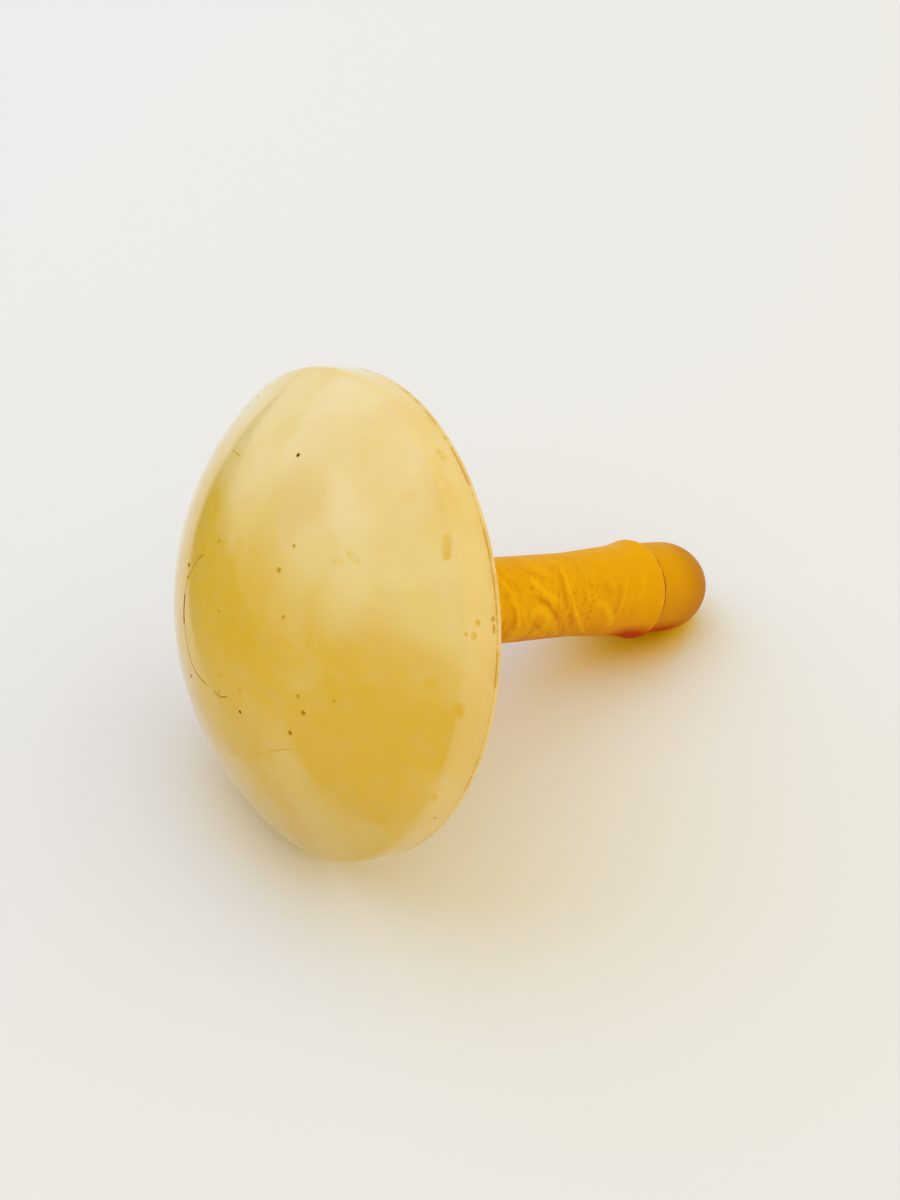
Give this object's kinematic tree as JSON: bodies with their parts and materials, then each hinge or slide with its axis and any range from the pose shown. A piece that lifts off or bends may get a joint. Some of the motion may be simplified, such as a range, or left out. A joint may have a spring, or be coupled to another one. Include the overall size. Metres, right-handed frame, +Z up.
{
  "type": "darning mushroom",
  "caption": "Darning mushroom with a domed cream head and a marbled amber handle that holds needles behind a push-in end cap.",
  "frame": {"origin": "middle of the footprint of the part as it lies on a table, on the table's surface", "axes": "+Z up from the table; +X level, from the head towards the end of the handle; the part's own axis lies in the XZ plane and drops 22.2 degrees below +X"},
  "size_m": [0.105, 0.08, 0.0761],
  "materials": {
    "cream_resin": "aged cream cast resin, softly polished",
    "cream_plate_resin": "aged cream cast resin, duller than the dome",
    "amber_resin": "marbled amber cast resin, polished",
    "amber_cap_resin": "marbled amber cast resin, polished"
  },
  "bodies": {
    "end_cap": {"end_cap": "amber_cap_resin"},
    "mushroom": {"head_dome": "cream_resin", "back_plate": "cream_plate_resin", "handle": "amber_resin"}
  },
  "joints": [
    {"name": "cap_pull", "type": "slide", "parent": "end_cap", "child": "mushroom", "axis": [-0.9261, 0, 0.3773], "range_m": [0, 0.05]}
  ]
}
